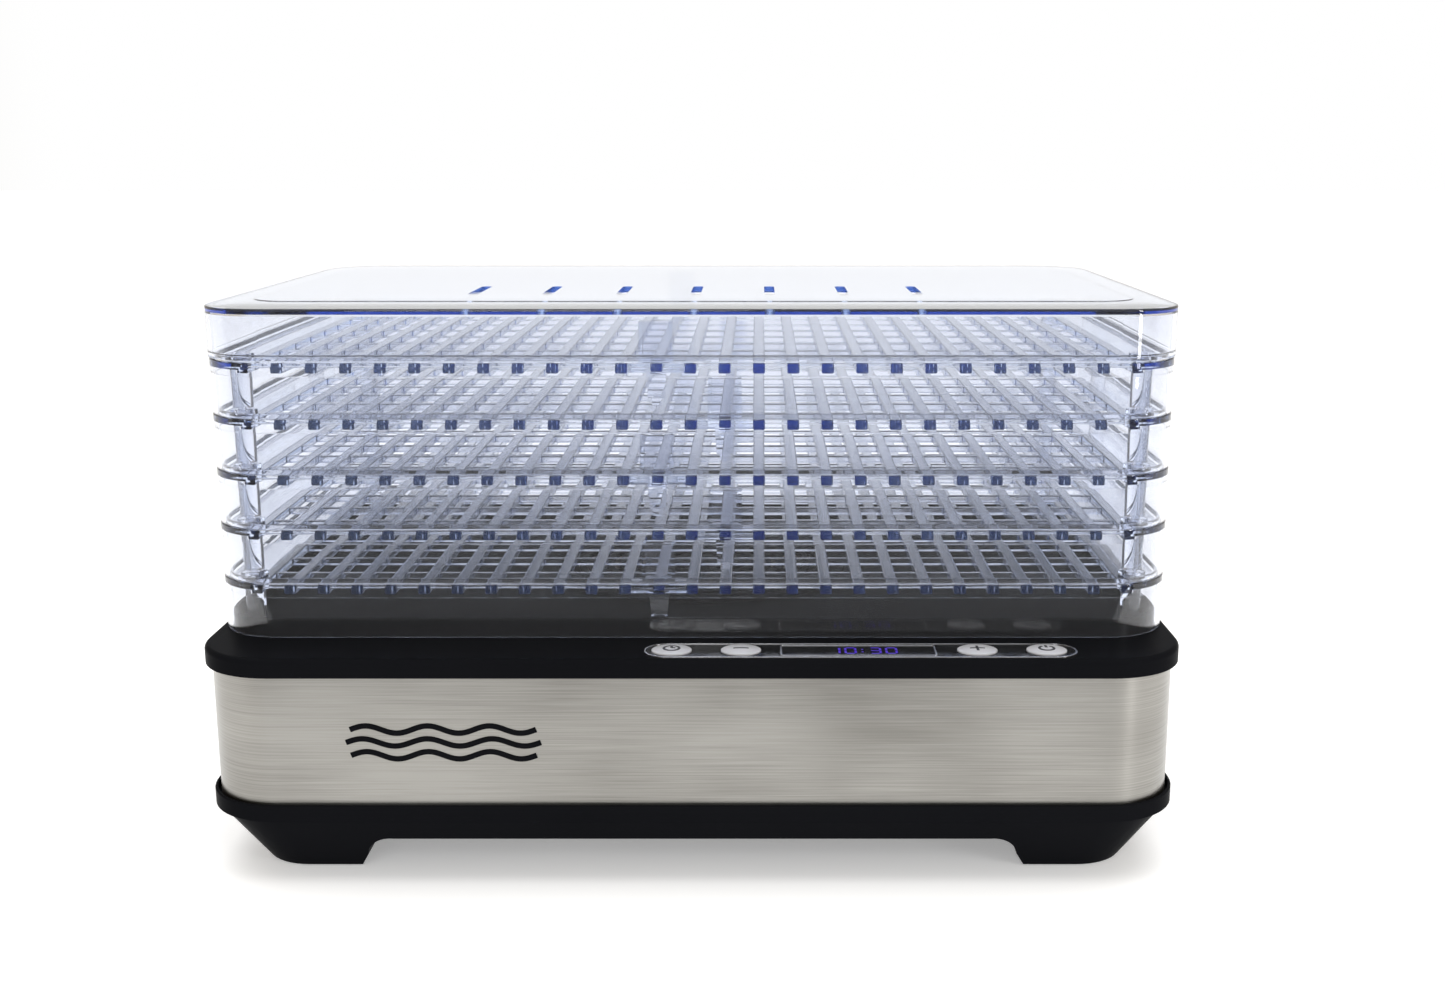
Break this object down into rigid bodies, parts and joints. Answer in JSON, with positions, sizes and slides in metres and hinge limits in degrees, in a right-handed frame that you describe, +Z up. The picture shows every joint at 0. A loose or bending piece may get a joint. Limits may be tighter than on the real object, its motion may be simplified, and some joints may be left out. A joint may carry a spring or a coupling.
{
  "type": "food dehydrator",
  "caption": "Rectangular food dehydrator with a steel-banded fan base, clear stacking trays, a vented clear lid and a touch panel of push buttons.",
  "frame": {"origin": "centre of the footprint, at the bottom of the rubber feet", "axes": "+X right and +Y away as seen by someone facing the control panel, +Z up"},
  "size_m": [0.442, 0.304, 0.255],
  "materials": {
    "steel": "fine horizontal brush",
    "black_satin": "satin moulded",
    "black_gloss": "polished",
    "clear_plastic": "polished, clear with a faint blue tint",
    "silver_trim": "satin silver",
    "silver_button": "silver lacquer",
    "smoked_window": "polished",
    "display_block": "polished",
    "rubber": "matt",
    "circuit_board": "solder resist",
    "switch_black": "moulded",
    "relay_blue": "moulded",
    "winding_yellow": "tape",
    "capacitor_sleeve": "sleeve",
    "terminal_white": "moulded",
    "laminated_steel": "stacked sheet",
    "copper_winding": "enamelled",
    "zinc_steel": "zinc plated",
    "bronze": "sintered",
    "grey_nylon": "moulded",
    "duct_plastic": "moulded",
    "mica_board": "pressed",
    "heating_wire": "oxidised",
    "wire_sleeve": "braided",
    "wire_black": "soft",
    "ribbon_grey": "soft"
  },
  "bodies": {
    "base": {"base_pan": "black_satin", "steel_band": "steel", "top_deck": "black_satin", "deck_collar": "black_satin", "outlet_grille": "black_satin", "intake_grille": "black_satin", "control_fascia": "black_gloss", "fascia_trim": "silver_trim", "display_frame": "silver_trim", "display_window": "smoked_window", "display_module": "display_block", "control_board": "circuit_board", "tact_switches": "switch_black", "power_board": "circuit_board", "relay": "relay_blue", "transformer": "winding_yellow", "capacitors": "capacitor_sleeve", "terminal_block": "terminal_white", "cord_gland": "black_satin", "fan_duct": "duct_plastic", "motor_core": "laminated_steel", "motor_coil": "copper_winding", "motor_bracket_lower": "zinc_steel", "motor_bracket_upper": "zinc_steel", "motor_bearings": "bronze", "heater_frame": "mica_board", "heater_coil": "heating_wire", "thermal_cutout": "zinc_steel", "air_sensor": "terminal_white", "mains_leads": "wire_black", "motor_leads": "wire_black", "heater_leads": "wire_sleeve", "panel_ribbon": "ribbon_grey", "housing_screws": "zinc_steel", "duct_screws": "zinc_steel", "board_screws": "zinc_steel", "motor_screws": "zinc_steel", "foot_pad_front_left": "rubber", "foot_pad_front_right": "rubber", "foot_pad_rear_left": "rubber", "foot_pad_rear_right": "rubber"},
    "fan": {"motor_rotor": "laminated_steel", "motor_shaft": "zinc_steel", "fan_blades": "grey_nylon"},
    "lid": {"lid": "clear_plastic"},
    "mode_button": {"button_mode": "silver_button"},
    "minus_button": {"button_minus": "silver_button"},
    "plus_button": {"button_plus": "silver_button"},
    "power_button": {"button_power": "silver_button"},
    "tray_1": {"tray_1_frame": "clear_plastic", "tray_1_grid": "clear_plastic"},
    "tray_2": {"tray_2_frame": "clear_plastic", "tray_2_grid": "clear_plastic"},
    "tray_3": {"tray_3_frame": "clear_plastic", "tray_3_grid": "clear_plastic"},
    "tray_4": {"tray_4_frame": "clear_plastic", "tray_4_grid": "clear_plastic"},
    "tray_5": {"tray_5_frame": "clear_plastic", "tray_5_grid": "clear_plastic"}
  },
  "joints": [
    {"name": "tray_5_lift", "type": "slide", "parent": "base", "child": "tray_5", "axis": [0, 0, 1], "range_m": [0, 0.06]},
    {"name": "tray_4_lift", "type": "slide", "parent": "tray_5", "child": "tray_4", "axis": [0, 0, 1], "range_m": [0, 0.06]},
    {"name": "tray_3_lift", "type": "slide", "parent": "tray_4", "child": "tray_3", "axis": [0, 0, 1], "range_m": [0, 0.06]},
    {"name": "tray_2_lift", "type": "slide", "parent": "tray_3", "child": "tray_2", "axis": [0, 0, 1], "range_m": [0, 0.06]},
    {"name": "tray_1_lift", "type": "slide", "parent": "tray_2", "child": "tray_1", "axis": [0, 0, 1], "range_m": [0, 0.06]},
    {"name": "lid_lift", "type": "slide", "parent": "tray_1", "child": "lid", "axis": [0, 0, 1], "range_m": [0, 0.08]},
    {"name": "mode_press", "type": "slide", "parent": "base", "child": "mode_button", "axis": [0, 0, -1], "range_m": [0, 0.0008], "stiffness_N_per_m": 1500, "springref_m": -0.0006},
    {"name": "minus_press", "type": "slide", "parent": "base", "child": "minus_button", "axis": [0, 0, -1], "range_m": [0, 0.0008], "stiffness_N_per_m": 1500, "springref_m": -0.0006},
    {"name": "plus_press", "type": "slide", "parent": "base", "child": "plus_button", "axis": [0, 0, -1], "range_m": [0, 0.0008], "stiffness_N_per_m": 1500, "springref_m": -0.0006},
    {"name": "power_press", "type": "slide", "parent": "base", "child": "power_button", "axis": [0, 0, -1], "range_m": [0, 0.0008], "stiffness_N_per_m": 1500, "springref_m": -0.0006},
    {"name": "fan_spin", "type": "hinge", "parent": "base", "child": "fan", "pos_m": [0, 0.014, 0.079], "axis": [0, 0, 1], "continuous": true}
  ]
}
